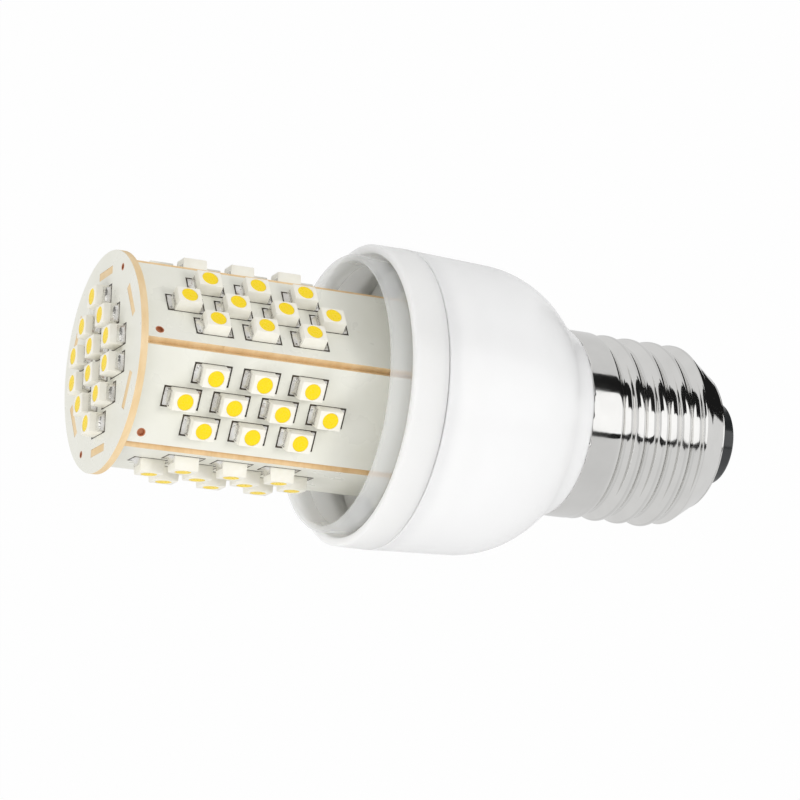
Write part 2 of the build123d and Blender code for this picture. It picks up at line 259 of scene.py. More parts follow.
print("finish helpers ready")

# %% [markdown]
# ## Gloss white moulding
# The housing and the ring are moulded in white plastic with a polished skin. A moulded skin is never a
# mirror: it waves a little, so highlights have soft edges. A faint, broad bump gives that. White plastic
# also lets some light in. Subsurface scattering stands for this, with a longer reach in the thin ring,
# so that the mouth of the housing isn't a dark hole.


# %% White mouldings
def white_moulding(name, first, second, weight, reach):
    """Gloss white plastic. Light goes this many millimetres into it."""
    return uneven_finish(
        name, rgb(first, first, first), rgb(second, second, second), 60.0, (0.2, 0.27), 0.004, IOR=1.5,
        Subsurface_Weight=weight, Subsurface_Radius=(1.0, 1.0, 1.0), Subsurface_Scale=reach * MM,
    )


housing_white = white_moulding("housing_white", 0.9, 0.885, 0.5, 2.2)
ring_white = white_moulding("ring_white", 0.98, 0.97, 0.85, 5.0)
print(housing_white.name, ring_white.name)

# %% [markdown]
# ## Clear moulding
# The collar in the mouth is clear, so it shows as little more than its edges and a few reflections.
# Refraction through so thin a wall bends nothing that the eye can see. The wall is therefore nearly
# transparent, and shows more of its white where the view grazes it: a painted reflection of the white
# studio. Its upper edge has more body still: a painted highlight for the light that the edge gathers.


# %% Clear plastic
def clear_finish(name, face_on, grazing):
    """Clear plastic that shows this much white face on and at a grazing angle; the added white at grazing
    angles is a painted reflection.
    """
    made = uneven_finish(
        name, rgb(0.96, 0.97, 0.97), rgb(0.92, 0.93, 0.93), 90.0, (0.04, 0.09), 0.003, IOR=1.49
    )
    tree = made.node_tree
    # More of the white shows at grazing angles: a painted reflection of the bright studio.
    rim = node(tree, "LayerWeight", Blend=0.35).outputs["Facing"]
    shown = stretch(tree, rim, 0.2, 1.0, face_on, grazing)
    tree.links.new(shown, tree.nodes["Principled BSDF"].inputs["Alpha"])
    return made


clear_plastic = clear_finish("clear_plastic", 0.05, 0.3)
# The collar's upper edge is whiter and more opaque: a painted highlight, not a different plastic.
clear_edge_painted_highlight = clear_finish("clear_edge_painted_highlight", 0.3, 0.45)
print(clear_plastic.name, clear_edge_painted_highlight.name)

# %% [markdown]
# ## Bright nickel
# The cap is thin sheet with a bright plated skin. It mirrors the studio, so most of its look is in the
# reflections. The rolling tools leave very fine lines round the axis, and the plating has a little haze.

# %% Cap nickel
cap_nickel, tree, shader, where = finish("cap_nickel", Metallic=1.0)
haze = place_group(
    tree, uneven, Vector=where, Scale=260.0, Gloss_end=0.05, Matt_end=0.12,
    Colour=rgb(0.80, 0.795, 0.78), Second_colour=rgb(0.75, 0.745, 0.73),
)
rolled = place_group(tree, lines, Vector=where, Scale=380.0, Stretch=(1.0, 1.0, 0.6))
tree.links.new(haze["Colour"], shader.inputs["Base Color"])
tree.links.new(haze["Roughness"], shader.inputs["Roughness"])
bump(tree, shader, rolled["Height"], 0.02)
print(cap_nickel.name)

# %% [markdown]
# ## Contact and insulator
# The contact is plated brass with a duller skin than the cap, because the holder's spring rubs it. The
# insulator is a dark, glassy moulding.

# %% Contact and insulator finishes
contact_metal = uneven_finish(
    "contact_metal", rgb(0.72, 0.62, 0.40), rgb(0.62, 0.55, 0.38), 500.0, (0.18, 0.34), 0.01, Metallic=1.0
)
insulator_black = uneven_finish(
    "insulator_black", rgb(0.028, 0.031, 0.032), rgb(0.016, 0.018, 0.019), 350.0, (0.1, 0.2), 0.01, IOR=1.55
)
print(contact_metal.name, insulator_black.name)

# %% [markdown]
# ## Boards
# A board is a sheet of glass fibre and resin. Its faces carry a white lacquer, a little yellow and not
# quite even, while its cut edges show the tan resin in thin layers. The small holes keep their copper.

# %% Board finishes
board_lacquer = stained(
    uneven_finish(
        "board_lacquer", rgb(0.83, 0.825, 0.75), rgb(0.80, 0.795, 0.71), 220.0, (0.24, 0.36), 0.004, IOR=1.5
    ),
    rgb(0.74, 0.70, 0.58), 420.0, 0.04,
)

board_edge, tree, shader, where = finish("board_edge", IOR=1.45)
layers = place_group(tree, lines, Vector=where, Scale=900.0, Stretch=(0.25, 0.25, 1.0))
resin = blend(tree, layers["Mask"], rgb(0.86, 0.66, 0.40), rgb(0.78, 0.57, 0.31))
spots = place_group(tree, stains, Vector=where, Scale=700.0, Amount=0.12)["Mask"]
tree.links.new(blend(tree, spots, resin, rgb(0.60, 0.38, 0.17)), shader.inputs["Base Color"])
tree.links.new(stretch(tree, layers["Mask"], 0.0, 1.0, 0.5, 0.75), shader.inputs["Roughness"])
bump(tree, shader, layers["Height"], 0.02)

copper = uneven_finish(
    "copper", rgb(0.62, 0.25, 0.12), rgb(0.45, 0.15, 0.065), 1500.0, (0.3, 0.5), 0.02, Metallic=0.3
)
outline_ink = uneven_finish(
    "outline_ink", rgb(0.012, 0.011, 0.008), rgb(0.06, 0.04, 0.02), 1300.0, (0.35, 0.55), 0.01
)
board_finishes = [board_lacquer, board_edge, copper]
print(*(material.name for material in board_finishes), outline_ink.name)

# %% [markdown]
# ## Lights
# Each light is a cream moulded body with a round well. The well is filled with clear gel full of yellow
# phosphor, which looks like fine powder. Solder joins it to its pads: bright tin with brown flux.

# %% Finishes of the lights
body_cream = uneven_finish(
    "body_cream", rgb(0.92, 0.90, 0.82), rgb(0.89, 0.86, 0.76), 900.0, (0.28, 0.4), 0.01, IOR=1.5
)
phosphor_gel = uneven_finish(
    "phosphor_gel", rgb(0.98, 0.74, 0.006), rgb(0.96, 0.67, 0.004), 2500.0, (0.22, 0.36), 0.012, IOR=1.45
)
tin = stained(
    uneven_finish("tin", rgb(0.97, 0.96, 0.93), rgb(0.62, 0.60, 0.55), 330.0, (0.1, 0.3), 0.3),
    rgb(0.30, 0.15, 0.06), 520.0, 0.3, (0.8, 0.1),
)
print(body_cream.name, phosphor_gel.name, tin.name)

# %% [markdown]
# ## Driver
# The parts inside the housing are out of sight in the photograph, and typical ones stand for them. Each
# gets the finish that such a part has: lacquer, dipped resin, printed sleeve or soft insulation.

# %% Finishes of the driver
driver_finishes = {
    "driver_board": ("board_green", (0.03, 0.16, 0.06), (0.02, 0.11, 0.04), 500.0, (0.3, 0.42)),
    "film_capacitor": ("capacitor_box", (0.42, 0.07, 0.03), (0.34, 0.05, 0.02), 400.0, (0.2, 0.32)),
    "can_capacitor": ("capacitor_sleeve", (0.02, 0.02, 0.028), (0.03, 0.03, 0.04), 700.0, (0.25, 0.4)),
    "bridge_rectifier": ("rectifier_black", (0.018, 0.018, 0.018), (0.03, 0.03, 0.03), 2500.0, (0.5, 0.7)),
    "fuse_resistor": ("fuse_coat", (0.06, 0.17, 0.11), (0.04, 0.13, 0.08), 1500.0, (0.4, 0.6)),
    "bleeder_resistor": ("resistor_coat", (0.06, 0.20, 0.38), (0.05, 0.16, 0.32), 1500.0, (0.3, 0.5)),
    "live_wire": ("wire_red", (0.45, 0.02, 0.015), (0.38, 0.015, 0.012), 900.0, (0.38, 0.55)),
    "neutral_wire": ("wire_black", (0.015, 0.015, 0.015), (0.025, 0.025, 0.025), 900.0, (0.38, 0.55)),
}
driver_finishes["tower_wire_plus"] = driver_finishes["live_wire"]
driver_finishes["tower_wire_minus"] = driver_finishes["neutral_wire"]
made_finishes = {}
for part, (name, colour, second, scale, roughness) in driver_finishes.items():
    if name not in made_finishes:
        made_finishes[name] = uneven_finish(name, rgb(*colour), rgb(*second), scale, roughness, 0.012)
    paint(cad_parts[part], [made_finishes[name]])
paint(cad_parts["base_board"], [board_lacquer])
print(len(made_finishes), "finishes inside the housing")

# %% [markdown]
# ## Drawing outlines
# Round parts are turned on a lathe and flat parts are cut from sheet, so both start from an outline.
# Here an outline is drawn as by hand: a plane is merged to a single point, and the point is extruded
# from corner to corner. A corner that gives a radius becomes a small arc, because no real edge is sharp.


# %% Outline helpers
def rest():
    """Back to object mode with nothing selected, so that an operator acts on its own piece alone."""
    if bpy.context.object and bpy.context.object.mode != "OBJECT":
        bpy.ops.object.mode_set(mode="OBJECT")
    bpy.ops.object.select_all(action="DESELECT")


def arc_about(centre, radius, start, sweep, count):
    """Points along an arc, from one angle through a sweep."""
    angles = [start + sweep * k / count for k in range(count + 1)]
    return [(centre[0] + radius * cos(a), centre[1] + radius * sin(a)) for a in angles]


def tangent_arc(start, end, heading, count):
    """Points of the arc that leaves start along the heading and ends at end, and its last heading."""
    size = hypot(*heading)
    heading = (heading[0] / size, heading[1] / size)
    left = (-heading[1], heading[0])
    chord = (end[0] - start[0], end[1] - start[1])
    radius = (chord[0] ** 2 + chord[1] ** 2) / (2 * (chord[0] * left[0] + chord[1] * left[1]))
    centre = (start[0] + radius * left[0], start[1] + radius * left[1])
    first = atan2(start[1] - centre[1], start[0] - centre[0])
    last = atan2(end[1] - centre[1], end[0] - centre[0])
    sweep = (last - first) % (2 * pi) if radius > 0 else -((first - last) % (2 * pi))
    turned = (
        heading[0] * cos(sweep) - heading[1] * sin(sweep),
        heading[0] * sin(sweep) + heading[1] * cos(sweep),
    )
    return arc_about(centre, abs(radius), first, sweep, count), turned


def softened(corners, count=4):
    """An outline whose corners with a third value, their radius, become small arcs."""
    points = []
    for k, corner in enumerate(corners):
        if len(corner) == 2:
            points.append(corner)
            continue
        before, after = corners[k - 1], corners[(k + 1) % len(corners)]
        arms = []
        for other in (before, after):
            reach = hypot(other[0] - corner[0], other[1] - corner[1])
            arms.append(((other[0] - corner[0]) / reach, (other[1] - corner[1]) / reach))
        half = asin(min(1, hypot(arms[0][0] - arms[1][0], arms[0][1] - arms[1][1]) / 2))
        away = hypot(arms[0][0] + arms[1][0], arms[0][1] + arms[1][1])
        centre = tuple(
            corner[i] + (arms[0][i] + arms[1][i]) / away * corner[2] / sin(half) for i in (0, 1)
        )
        ends = [
            atan2(corner[1] + arm[1] * corner[2] / tan(half) - centre[1],
                  corner[0] + arm[0] * corner[2] / tan(half) - centre[0])
            for arm in arms
        ]
        sweep = (ends[1] - ends[0] + pi) % (2 * pi) - pi
        points += arc_about(centre, corner[2], ends[0], sweep, count)
    return points


def draw(name, points, closed=True):
    """A new piece whose mesh is this line of points in metres, left in edit mode and all selected."""
    rest()
    bpy.ops.mesh.primitive_plane_add(size=MM)
    piece = bpy.context.object
    piece.name = piece.data.name = name
    bpy.ops.object.mode_set(mode="EDIT")
    bpy.ops.mesh.select_all(action="SELECT")
    bpy.ops.mesh.merge(type="CENTER")
    bpy.ops.transform.translate(value=points[0])
    route = points + points[:1] if closed else points
    for start, end in zip(route, route[1:]):
        step = [b - a for a, b in zip(start, end)]
        bpy.ops.mesh.extrude_region_move(TRANSFORM_OT_translate={"value": step})
    bpy.ops.mesh.select_all(action="SELECT")
    bpy.ops.mesh.remove_doubles(threshold=WELD)
    return piece


print("outline helpers ready")

# %% [markdown]
# ## Lathe and sheet
# A turned part is its outline spun once round the axis, welded where the last step meets the first, with
# its faces made to point outwards. A sheet part is its outline filled and extruded by its thickness.


# %% Lathe and sheet helpers
def close_up(piece, smooth):
    """Weld the piece, point its faces outwards and smooth it up to this angle in degrees."""
    bpy.ops.mesh.select_all(action="SELECT")
    bpy.ops.mesh.remove_doubles(threshold=WELD)
    bpy.ops.mesh.normals_make_consistent(inside=False)
    bpy.ops.object.mode_set(mode="OBJECT")
    bpy.ops.object.shade_smooth_by_angle(angle=radians(smooth))
    return piece


def lathe(name, outline, steps=144):
    """Turn an outline of (radius, height) in millimetres about the lamp's axis."""
    piece = draw(name, [(r * MM, 0.0, z * MM) for r, z in outline])
    bpy.ops.mesh.spin(steps=steps, angle=2 * pi, center=(0, 0, 0), axis=(0, 0, 1))
    return close_up(piece, smooth=32)


def sheet(name, outline, low, high):
    """Cut an outline of (x, y) in millimetres from sheet that lies between two heights."""
    piece = draw(name, [(x * MM, y * MM, low * MM) for x, y in outline])
    bpy.ops.mesh.edge_face_add()
    bpy.ops.mesh.extrude_region_move(TRANSFORM_OT_translate={"value": (0, 0, (high - low) * MM)})
    return close_up(piece, smooth=30)


def cut(piece, cutter):
    """Cut one piece with another, which is used up."""
    rest()
    modifier = piece.modifiers.new("cut", "BOOLEAN")
    modifier.operation = "DIFFERENCE"
    modifier.solver = "EXACT"
    modifier.object = cutter
    bpy.context.view_layer.objects.active = piece
    bpy.ops.object.modifier_apply(modifier="cut")
    bpy.data.objects.remove(cutter)
    return piece


def join(target, *others):
    """Join pieces into the first one."""
    rest()
    for piece in (target, *others):
        piece.select_set(True)
    bpy.context.view_layer.objects.active = target
    bpy.ops.object.join()


def copies(source, name, places):
    """One piece made of copies of the source's mesh, each moved by its own matrix."""
    made = []
    for place in places:
        copy = source.copy()
        copy.data = source.data.copy()
        copy.data.transform(place)
        bpy.context.collection.objects.link(copy)
        made.append(copy)
    if len(made) > 1:
        join(*made)
    made[0].name = made[0].data.name = name
    return made[0]


def dress(piece, slot, materials, *nodes):
    """Give a piece its finishes, if any, hang it from the root and hide the CAD nodes it stands for. Slot
    is not used.
    """
    if materials:
        paint(piece, materials)
    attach(piece, "root")
    if nodes:
        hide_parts(*nodes)
    print(f"{piece.name}: {len(piece.data.polygons)} faces")
    return piece


def mark_faces(piece, index, test):
    """Give the finish at this index to the faces whose centre in millimetres and normal pass a test."""
    for face in piece.data.polygons:
        if test(face.center / MM, face.normal):
            face.material_index = index


print("lathe and sheet helpers ready")

# %% [markdown]
# ## Screw cap
# The cap is a thin shell with a rolled thread: round crests and round valleys of almost the same
# radius, a smooth band above and a tapered foot. A thread on a lathed grid gets ragged valleys, because
# the valleys run across the grid. So one pitch of the wall is drawn and a Screw modifier winds it, which
# lays the grid along the thread. Then each point moves in or out to the thread's own form, and the two
# ends are cut flat.

# %% Sizes of the cap
cap_top, cap_foot = 27.0, 4.4
crest_radius, crest_height, pitch = 13.15, 20.0, 3.629
crest_round, root_round = 0.97, 1.03
band_radius, band_start, band_full = 13.2, 21.5, 23.3
foot_radius, foot_slope, foot_blend = 9.87, 0.7125, 0.25
cap_sheet = 0.3
roll_radius, roll_inset, roll_rise, roll_points = 0.2, 0.12, 0.02, 12
arc_rows, columns, turns, turns_below_crest = 6, 128, 8, 5


# %% Form of the thread
half_pitch = pitch / 2
lean = asin(half_pitch / (crest_round + root_round))
meeting = crest_round * sin(lean)
root_radius = crest_radius - (crest_round + root_round) * (1 - cos(lean))


def soft_min(a, b, width):
    """The smaller of two values, with a round turn of this width where they meet."""
    return (a + b - sqrt((a - b) ** 2 + width**2)) / 2


def cap_radius(angle, height):
    """Outer radius of the cap, in millimetres, at this angle and height."""
    offset = abs((height - crest_height - pitch * angle / (2 * pi) + half_pitch) % pitch - half_pitch)
    if offset < meeting:
        radius = crest_radius - crest_round + sqrt(crest_round**2 - offset**2)
    else:
        radius = root_radius + root_round - sqrt(root_round**2 - (half_pitch - offset) ** 2)
    rise = min(max((height - band_start) / (band_full - band_start), 0), 1)
    radius += (band_radius - radius) * rise * rise * (3 - 2 * rise)
    limit = foot_radius + (height - cap_foot) * foot_slope
    return soft_min(radius, limit, foot_blend)


print("valley radius", round(root_radius, 2), "mm, steepest lean", round(lean * 180 / pi), "degrees")

# %% Wind the cap
valley = [root_round * sin(lean * k / arc_rows) for k in range(arc_rows + 1)]
crest = [half_pitch + crest_round * sin(lean * k / arc_rows) for k in range(1 - arc_rows, arc_rows)]
steps = valley + crest + [pitch - height for height in reversed(valley)]
start = crest_height - half_pitch - turns_below_crest * pitch
wall_line = [(root_radius * MM, 0.0, (start + step) * MM) for step in steps]
screw_shell = draw("screw_shell_rolled", wall_line, closed=False)
rest()
winder = screw_shell.modifiers.new("thread", "SCREW")
winder.steps = winder.render_steps = columns
winder.screw_offset = pitch * MM
winder.iterations = turns
winder.use_merge_vertices = True
winder.merge_threshold = WELD
bpy.context.view_layer.objects.active = screw_shell
bpy.ops.object.modifier_apply(modifier="thread")
for vertex in screw_shell.data.vertices:
    angle = atan2(vertex.co.y, vertex.co.x)
    radius = cap_radius(angle, vertex.co.z / MM) * MM
    vertex.co.x, vertex.co.y = radius * cos(angle), radius * sin(angle)
print("wound", len(screw_shell.data.vertices), "points")

# %% [markdown]
# The sheet gets its thickness from Solidify after its ends are cut. The foot is rolled in over the
# insulator, and that small roll catches the light as a bright line.

# %% Trim, thicken and roll the cap
bpy.ops.object.mode_set(mode="EDIT")
bpy.ops.mesh.select_all(action="SELECT")
bpy.ops.mesh.remove_doubles(threshold=WELD)
bpy.ops.mesh.bisect(plane_co=(0, 0, cap_foot * MM), plane_no=(0, 0, 1), clear_inner=True)
bpy.ops.mesh.select_all(action="SELECT")
bpy.ops.mesh.bisect(plane_co=(0, 0, cap_top * MM), plane_no=(0, 0, 1), clear_outer=True)
bpy.ops.mesh.select_all(action="SELECT")
bpy.ops.mesh.normals_make_consistent(inside=False)
bpy.ops.object.mode_set(mode="OBJECT")
middle = screw_shell.data.polygons[0]
if middle.normal.x * middle.center.x + middle.normal.y * middle.center.y < 0:
    screw_shell.data.flip_normals()
wall = screw_shell.modifiers.new("wall", "SOLIDIFY")
wall.thickness = cap_sheet * MM
wall.offset = -1
bpy.ops.object.modifier_apply(modifier="wall")
bpy.ops.object.shade_smooth_by_angle(angle=radians(50))

roll_middle = (foot_radius - roll_inset, cap_foot + roll_rise)
roll_sweep = 2 * pi * (roll_points - 1) / roll_points
roll = lathe("foot_roll", arc_about(roll_middle, roll_radius, 0, roll_sweep, roll_points - 1))
join(screw_shell, roll)
dress(screw_shell, "cap_metal", [cap_nickel], "screw_shell")

# %% [markdown]
# ## Insulator and contact
# The insulator closes the foot: it runs in from the rolled rim and then stands out as a short round
# boss. The contact is a flat disc with a domed edge, held in the boss. Both are turned from their
# outlines with softened edges.

# %% Turn the insulator and the contact
insulator = lathe(
    "insulator_moulded",
    softened(
        [
            (1.6, 0.9), (4.95, 0.9), (4.95, 0.25, 0.1), (5.95, 0.25, 0.55), (6.25, 3.4, 0.9),
            (9.43, 4.4, 0.1), (9.43, 4.8), (10.85, 6.8), (10.85, 7.4), (4.5, 7.4), (3.5, 5.8), (1.6, 5.8),
        ],
        count=6,
    ),
    steps=96,
)
dress(insulator, "insulator_black", [insulator_black], "insulator")

contact = lathe(
    "centre_contact_turned",
    [
        (0, 0), (3.2, 0), (3.9, 0.04), (4.4, 0.16), (4.7, 0.35), (4.8, 0.6), (4.8, 0.9), (1.5, 0.9),
        (1.5, 7.0), (0, 7.0),
    ],
    steps=72,
)
dress(contact, "contact_metal", [contact_metal], "centre_contact")

# %% [markdown]
# ## Bell housing
# The bell runs from a lightly drafted wall over a round shoulder to a flared neck, and each arc leaves
# the line before it without a kink. Its spigot goes down inside the cap. Inside are the ledge for the
# base board and the rebate for the ring, so that the section is that of the real moulding.

# %% Turn the bell
wall_top, wall_foot = (20.76, 52.6), (20.28, 40.9)
neck_turn, neck_slope, bell_wall = (15.9, 30.85), radians(47), 1.5
fall = (wall_foot[0] - wall_top[0], wall_foot[1] - wall_top[1])
shoulder, heading = tangent_arc(wall_foot, neck_turn, fall, 36)
neck, _ = tangent_arc(neck_turn, (13.2, 27.12), heading, 16)
inner_turn = (neck_turn[0] - bell_wall * cos(neck_slope), neck_turn[1] + bell_wall * sin(neck_slope))
inner_shoulder, _ = tangent_arc((wall_foot[0] - bell_wall, wall_foot[1]), inner_turn, fall, 20)
bell = lathe(
    "bell_housing_moulded",
    softened([(20.05, 52.6), (*wall_top, 0.12), shoulder[0]])
    + shoulder[1:]
    + neck[1:]
    + [(13.05, 27.0), (12.7, 27.0), (11.6, 27.0), (11.6, 13.2), (11.4, 13.0), (10.3, 13.0), (10.3, 27.37)]
    + inner_shoulder[::-1]
    + [(18.78, 44.2), (17.76, 45.7), (17.76, 46.7), (19.26, 46.7), (19.26, 51.2), (20.05, 51.2)],
    steps=192,
)
dress(bell, "housing_white", [housing_white], "bell_housing")

# %% [markdown]
# ## Front ring and clear collar
# The ring laps into the bell with a tongue and leaves a fine parting line. The collar is clear, stands
# on the base board inside it and shows a little above the ring.

# %% Turn the ring and the collar
ring = lathe(
    "front_ring_moulded",
    softened(
        [
            (19.3, 51.2), (19.95, 51.2), (19.95, 52.68), (20.8, 52.86, 0.1), (20.8, 57.75, 0.35),
            (19.6, 57.75, 0.35),
        ]
    ),
    steps=192,
)
dress(ring, "housing_white", [ring_white], "front_ring")

collar_edge = 57.0
collar = lathe(
    "clear_collar_moulded",
    softened(
        [
            (18.1, 47.9), (19.1, 47.9), (19.1, collar_edge), (19.1, 60.3, 0.45), (18.1, 60.3, 0.45),
            (18.1, collar_edge),
        ]
    ),
)
dress(collar, "clear_plastic", [clear_plastic, clear_edge_painted_highlight], "clear_collar")
# Faces above the edge height take the painted highlight.
mark_faces(collar, 1, lambda c, n: c.z > collar_edge)

# %% [markdown]
# ## Panels
# The tower's six boards are alike, so one is made lying flat: x across it, y up the lamp and z out of
# its face. Its outline has a tab at each end that fits a slot in the board above or below. The faces
# are lacquered, the cut edges show tan resin, and a small copper hole marks one corner.

# %% Sizes of the tower
tower_apothem, board, board_count = 12.5, 1.0, 6
base_top, end_front = 47.9, 93.67
end_back = end_front - board
seam_gap, tab_sink, slot_play = 0.005, 0.03, 0.06
panel_half = (tower_apothem - board) * tan(pi / board_count) - seam_gap
tab_half, tab_low, tab_high = 2.5, base_top - 1.1, end_front - tab_sink
hole_place, hole_radius = (-5.25, end_front - 3.0), 0.5
end_radius, end_hole_place, end_hole_radius = 14.87, 13.1, 0.4


def panel_matrix(number):
    """Place of a flat-made panel in the tower. Panel 1 faces the front."""
    angle = radians(-90 + 360 / board_count * (number - 1))
    across, out = Vector((-sin(angle), cos(angle), 0)), Vector((cos(angle), sin(angle), 0))
    made = Matrix((across, Vector((0, 0, 1)), out)).transposed().to_4x4()
    made.translation = out * tower_apothem * MM
    return made


end_matrix = Matrix.Translation((0, 0, end_front * MM)) @ Matrix.Rotation(radians(30), 4, "Z")
print("panel", round(2 * panel_half, 2), "mm wide and", round(end_back - base_top, 2), "mm tall")


# %% Cutters and eyelets
def round_cutter(x, y, z, radius, depth):
    """A round bar for cutting a hole, with its middle at this place in millimetres."""
    rest()
    bpy.ops.mesh.primitive_cylinder_add(
        vertices=24, radius=radius * MM, depth=depth * MM, location=(x * MM, y * MM, z * MM)
    )
    return bpy.context.object


def eyelet(x, y, z, radius):
    """The copper of a small plated hole: a land that lies on the board and a cup inside the hole."""
    low, high, inner_floor, outer_floor = z - 0.03, z + 0.02, z - 0.3, z - 0.4
    outer, inner, land = radius - 0.01, radius - 0.06, radius + 0.08
    cup = lathe(
        "eyelet",
        [
            (0, outer_floor), (outer, outer_floor), (outer, low), (land, low), (land, high), (inner, high),
            (inner, inner_floor), (0, inner_floor),
        ],
        steps=24,
    )
    cup.data.transform(Matrix.Translation((x * MM, y * MM, 0)))
    paint(cup, [copper])
    return cup


print("cutters ready")

# %% Cut the panel
panel = sheet(
    "panel",
    [
        (-panel_half, base_top), (-tab_half, base_top), (-tab_half, tab_low), (tab_half, tab_low),
        (tab_half, base_top), (panel_half, base_top), (panel_half, end_back), (tab_half, end_back),
        (tab_half, tab_high), (-tab_half, tab_high), (-tab_half, end_back), (-panel_half, end_back),
    ],
    -board,
    0,
)
cut(panel, round_cutter(*hole_place, -board / 2, hole_radius, 2 * board))
paint(panel, board_finishes)
mark_faces(panel, 1, lambda c, n: abs(n.z) < 0.5)
mark_faces(panel, 2, lambda c, n: hypot(c.x - hole_place[0], c.y - hole_place[1]) < hole_radius + 0.02)
join(panel, eyelet(*hole_place, 0, hole_radius))
for number in range(1, board_count + 1):
    placed = copies(panel, f"panel_board_{number}_cut", [panel_matrix(number)])
    dress(placed, "board_white", [], f"panel_board_{number}")
bpy.data.objects.remove(panel)

# %% [markdown]
# ## End board
# A round board closes the tower. Six slots take the tabs of the panels, and two small copper holes sit
# near its rim. It is turned as a disc and then cut, so that the walls of the slots show the resin.

# %% Turn and cut the end board
rim = [(0, end_back), (end_radius, end_back, 0.04), (end_radius, end_front, 0.04), (0, end_front)]
end_board = lathe("end_board_cut", softened(rim, count=2))
slot_size = ((2 * tab_half + slot_play) * MM, 3 * board * MM, (board + slot_play) * MM, 1)
for number in range(1, board_count + 1):
    rest()
    bpy.ops.mesh.primitive_cube_add(size=1)
    slot_cutter = bpy.context.object
    slot_cutter.data.transform(Matrix.Diagonal(slot_size))
    slot_cutter.data.transform(Matrix.Translation((0, end_front * MM, -board / 2 * MM)))
    slot_cutter.data.transform(panel_matrix(number))
    cut(end_board, slot_cutter)
for side in (-1, 1):
    cut(end_board, round_cutter(side * end_hole_place, 0, end_back, end_hole_radius, 4 * board))
paint(end_board, board_finishes)
mark_faces(end_board, 0, lambda c, n: True)
mark_faces(end_board, 1, lambda c, n: abs(n.z) < 0.6)
mark_faces(
    end_board, 2,
    lambda c, n: hypot(abs(c.x) - end_hole_place, c.y) < end_hole_radius + 0.02 and abs(n.z) < 0.6,
)
join(end_board, *(eyelet(side * end_hole_place, 0, end_front, end_hole_radius) for side in (-1, 1)))
bpy.ops.object.shade_smooth_by_angle(angle=radians(20))
dress(end_board, "board_white", [], "end_board")

# %% [markdown]
# ## One light
# The body is a drafted block with soft edges and a round well with a sloping wall. It starts as a cube
# that is scaled, bevelled and cut with a cone. The gel in the well sinks a little towards its middle.

# %% Sizes of a light
light_width, light_length, light_height, draft, soft_width = 2.8, 3.5, 1.9, radians(3), 0.13
well_radius, well_depth, well_taper, well_sides = 1.12, 0.5, 0.1, 28

# %% Body of a light
rest()
bpy.ops.mesh.primitive_cube_add(size=1)
light_body = bpy.context.object
light_body.name = "light_body"
light_body.data.transform(Matrix.Translation((0, 0, 0.5)))
light_body.data.transform(Matrix.Diagonal((light_width * MM, light_length * MM, light_height * MM, 1)))
narrow = 2 * light_height * tan(draft)
for vertex in light_body.data.vertices:
    if vertex.co.z > 0:
        vertex.co.x *= 1 - narrow / light_width
        vertex.co.y *= 1 - narrow / light_length
soft_edge = light_body.modifiers.new("edges", "BEVEL")
soft_edge.width = soft_width * MM
soft_edge.segments = 2
soft_edge.limit_method = "ANGLE"
bpy.ops.object.modifier_apply(modifier="edges")
rest()
bpy.ops.mesh.primitive_cone_add(
    vertices=well_sides, radius1=(well_radius - well_taper) * MM, radius2=(well_radius + well_taper) * MM,
    depth=2 * well_depth * MM, location=(0, 0, light_height * MM),
)
cut(light_body, bpy.context.object)
bpy.context.view_layer.objects.active = light_body
light_body.select_set(True)
bpy.ops.object.shade_smooth_by_angle(angle=radians(38))
print("body of a light:", len(light_body.data.polygons), "faces")

# %% Gel of a light
gel_edge, gel_floor = light_height - 0.06, light_height - well_depth + 0.03
gel_radius, gel_floor_radius = 1.09, 1.04
light_gel = lathe(
    "light_gel",
    [
        (0, gel_edge - 0.05), (0.5, gel_edge - 0.043), (0.85, gel_edge - 0.025), (gel_radius, gel_edge),
        (gel_floor_radius, gel_floor), (0, gel_floor),
    ],
    steps=well_sides,
)
print("gel of a light:", len(light_gel.data.polygons), "faces")

# %% [markdown]
# ## Solder, terminals and the printed outline
# Each end of the body has a tinned terminal that stands on a pad. The solder climbs it in a hollow
# curve. Its section is drawn at one side and extruded across in steps, each scaled about the foot of
# the terminal, so the joint thins towards its sides. A thin printed rectangle runs round every light.

# %% Solder joint
joint_low, joint_reach, joint_height = light_length / 2, 0.72, 0.8
joint_root, joint_step, joint_film = joint_low - 0.1, 0.02, 0.03
hollow = [
    (joint_low + joint_step + u * (joint_reach - 2 * joint_step), joint_film + v * joint_height)
    for u, v in arc_about((1, 1), 1, pi, pi / 2, 6)
]
section = [(joint_root, 0.0), (joint_low + joint_reach, 0.0)]
section += hollow[::-1] + [(joint_root, joint_height + joint_film)]
across_steps = [(-1.12, 0.3), (-1.0, 0.7), (-0.7, 0.95), (0.0, 1.0), (0.7, 0.95), (1.0, 0.7), (1.12, 0.3)]
place, scale = across_steps[0]
pivot = (0.0, joint_low * MM, 0.0)
solder_joint = draw("solder_joint", [(place * MM, y * MM, z * MM) for y, z in section])
bpy.ops.mesh.edge_face_add()
bpy.ops.transform.resize(value=(1, scale, scale), center_override=pivot)
for next_place, next_scale in across_steps[1:]:
    step = (next_place - place) * MM
    bpy.ops.mesh.extrude_region_move(TRANSFORM_OT_translate={"value": (step, 0, 0)})
    ratio = next_scale / scale
    bpy.ops.transform.resize(value=(1, ratio, ratio), center_override=pivot)
    place, scale = next_place, next_scale
close_up(solder_joint, smooth=55)
other_end = Matrix.Rotation(pi, 4, "Z")
solder_pair = copies(solder_joint, "solder_pair", [Matrix.Identity(4), other_end])
bpy.data.objects.remove(solder_joint)
print("solder of a light:", len(solder_pair.data.polygons), "faces")

